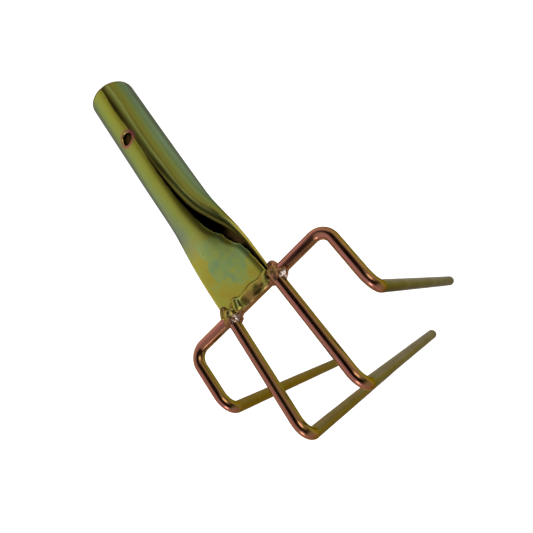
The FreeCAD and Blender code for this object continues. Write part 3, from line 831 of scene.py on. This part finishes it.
weld_piece("weld_left_lump", "weld_tine_left", [
    ((-20.2, -3.6, 0.3), (4.6, 4.4, 4.6), 0), ((-20.1, -4.0, -4.2), (4.2, 4.2, 4.6), 0),
    ((-17.2, -2.8, 2.2), (2.8, 3.0, 2.8), 0), ((-22.2, -3.0, 2.2), (2.8, 3.0, 2.8), 0),
    ((-24.4, -2.6, -2.9), (2.9, 3.2, 2.9), 0),
    ((-23.4, -3.0, -5.0), (2.2, 2.9, 2.4), 0), ((-17.2, -3.0, -3.6), (3.0, 3.4, 3.2), 0),
    ((-14.2, -2.6, -3.4), (2.8, 3.0, 2.6), 0), ((-16.0, -3.0, -5.4), (2.8, 3.0, 3.0), 0),
    ((-17.0, -3.0, -7.2), (1.9, 2.4, 2.0), 0)], 23, 0.24, 0.35)
weld_piece("weld_right_lump", "weld_tine_right", [
    ((20.8, -3.7, 0.2), (4.6, 4.4, 4.6), 0), ((20.7, -4.0, -4.2), (4.3, 4.3, 4.7), 0),
    ((17.6, -2.6, 2.4), (2.8, 3.0, 2.7), 0), ((17.0, -2.8, -3.7), (2.9, 3.2, 3.1), 0),
    ((24.6, -3.0, -3.4), (3.2, 3.4, 3.4), 0), ((27.4, -2.6, -3.6), (2.6, 3.0, 2.6), 0),
    ((25.6, -3.0, -6.0), (2.6, 3.0, 2.8), 0), ((24.8, -3.0, -7.6), (1.8, 2.4, 1.7), 0)],
    24, 0.24, 0.8)
weld_piece("weld_left_finger", "weld_corner_left", [
    ((-22.6, -2.8, 6.6), (2.3, 2.4, 2.4), 0), ((-23.2, -3.1, 5.4), (2.6, 2.5, 2.5), 0),
    ((-24.0, -3.1, 4.0), (2.6, 2.5, 2.5), 0), ((-24.8, -3.0, 2.6), (2.6, 2.5, 2.5), 0),
    ((-24.7, 0.6, 4.3), (3.5, 3.6, 3.6), 0)], 25, 0.07, 0.3,
    toe=((-26.0, -23.0, -20.6), (7.6, 8.8, 7.6)))
weld_piece("weld_right_heel", "weld_corner_right", [
    ((20.8, 1.2, 6.2), (3.9, 3.9, 3.9), 0), ((19.8, 0.2, 5.6), (2.8, 2.6, 3.2), 0)], 26, 0.24, 1.0)

# Floor

floor_mesh = bpy.data.meshes.new("floor")
floor_mesh.from_pydata([(-4, -4, 0), (4, -4, 0), (4, 4, 0), (-4, 4, 0)], [], [(0, 1, 2, 3)])
floor = bpy.data.objects.new("floor", floor_mesh)
bpy.context.scene.collection.objects.link(floor)
paper = Nodes("pale_floor")
paper.put(paper.shader.inputs["Base Color"], paper.ramp(paper.noise(8.0), [
    (0.3, grey(0.86)), (0.7, grey(0.90))]))
paper.put(paper.shader.inputs["Roughness"], 0.9)
paper.put(paper.shader.inputs["Emission Color"], grey(1.0))
paper.put(paper.shader.inputs["Emission Strength"], 0.65)
floor_mesh.materials.append(paper.material)

# Soft light from all round, and two soft boxes.

world = bpy.data.worlds.new("studio")
bpy.context.scene.world = world
world.use_nodes = True
sky = world.node_tree
sky.nodes.clear()
coordinate = sky.nodes.new("ShaderNodeTexCoord")
parts = sky.nodes.new("ShaderNodeSeparateXYZ")
sky.links.new(coordinate.outputs["Generated"], parts.inputs[0])


def sky_math(operation, first, second):
    node = sky.nodes.new("ShaderNodeMath")
    node.operation = operation
    for socket, value in zip(node.inputs, (first, second)):
        if isinstance(value, bpy.types.NodeSocket):
            sky.links.new(value, socket)
        else:
            socket.default_value = value
    return node.outputs[0]


def sky_step(value, low, high):
    node = sky.nodes.new("ShaderNodeMapRange")
    node.interpolation_type = "SMOOTHSTEP"
    sky.links.new(value, node.inputs["Value"])
    node.inputs["From Min"].default_value, node.inputs["From Max"].default_value = low, high
    return node.outputs["Result"]


# A dark flag stands beside the tool, leaning over it, and gives the bars their dark streaks.
leaning = sky_math("SUBTRACT", parts.outputs["X"], sky_math("MULTIPLY", parts.outputs["Z"], 0.3))
leaning = sky_math("ADD", leaning, sky_math("MULTIPLY", parts.outputs["Y"], 0.15))
flag = sky_math("MULTIPLY", sky_step(leaning, -0.93, -0.81), sky_step(leaning, -0.01, -0.13))
flag = sky_math("MULTIPLY", flag, sky_step(parts.outputs["Y"], 0.75, 0.55))
# Light Path hides it from the camera: it shows in the metal but never as the backdrop.
seen = sky.nodes.new("ShaderNodeLightPath")
flag = sky_math("MULTIPLY", flag, sky_math("SUBTRACT", 1.0, seen.outputs["Is Camera Ray"]))
shade = sky.nodes.new("ShaderNodeValToRGB")
shade.color_ramp.elements[0].color = grey(0.95)
shade.color_ramp.elements[1].color = grey(0.01)
sky.links.new(flag, shade.inputs["Fac"])
background = sky.nodes.new("ShaderNodeBackground")
output = sky.nodes.new("ShaderNodeOutputWorld")
sky.links.new(shade.outputs["Color"], background.inputs["Color"])
sky.links.new(background.outputs["Background"], output.inputs["Surface"])
background.inputs["Strength"].default_value = 1.0


def soft_box(name, spot, target, size, power):
    light = bpy.data.lights.new(name, "AREA")
    light.shape, light.size, light.energy = "SQUARE", size, power
    holder = bpy.data.objects.new(name, light)
    holder.location = spot
    holder.rotation_euler = (Vector(target) - Vector(spot)).to_track_quat("-Z", "Y").to_euler()
    bpy.context.scene.collection.objects.link(holder)


middle = Vector([(low_start[i] + high_start[i]) / 2 for i in range(3)])
soft_box("key", (0.9, 0.6, 1.5), middle, 0.5, 6.0)
soft_box("fill", (-1.2, -0.2, 1.2), middle, 0.8, 8.0)

# Camera, fitted to the tool's own frame.

CAMERA_RIGHT = np.array([0.66958, 0.52458, -0.52581])
CAMERA_DOWN = np.array([-0.67192, 0.12613, -0.7298])
CAMERA_AHEAD = np.array([-0.31652, 0.84197, 0.43693])
CAMERA_AT = np.array([137.21, -316.93, -156.14])
FOCAL_PIXELS, PHOTO_PIXELS, SENSOR_WIDTH = 600.0, 533.0, 36.0
camera_data = bpy.data.cameras.new("camera")
camera_data.sensor_width = SENSOR_WIDTH
camera_data.sensor_fit = "HORIZONTAL"
camera_data.lens = FOCAL_PIXELS / PHOTO_PIXELS * SENSOR_WIDTH
camera_data.clip_start = 0.01
camera = bpy.data.objects.new("camera", camera_data)
pose = Matrix.Identity(4)
for column, way in enumerate((CAMERA_RIGHT, -CAMERA_DOWN, -CAMERA_AHEAD)):
    turned = TURN @ way
    for row_index in range(3):
        pose[row_index][column] = turned[row_index]
for row_index, value in enumerate(to_row([CAMERA_AT])[0]):
    pose[row_index][3] = value
camera.matrix_world = pose
bpy.context.scene.collection.objects.link(camera)
bpy.context.scene.camera = camera
bpy.context.scene.view_settings.view_transform = "Standard"
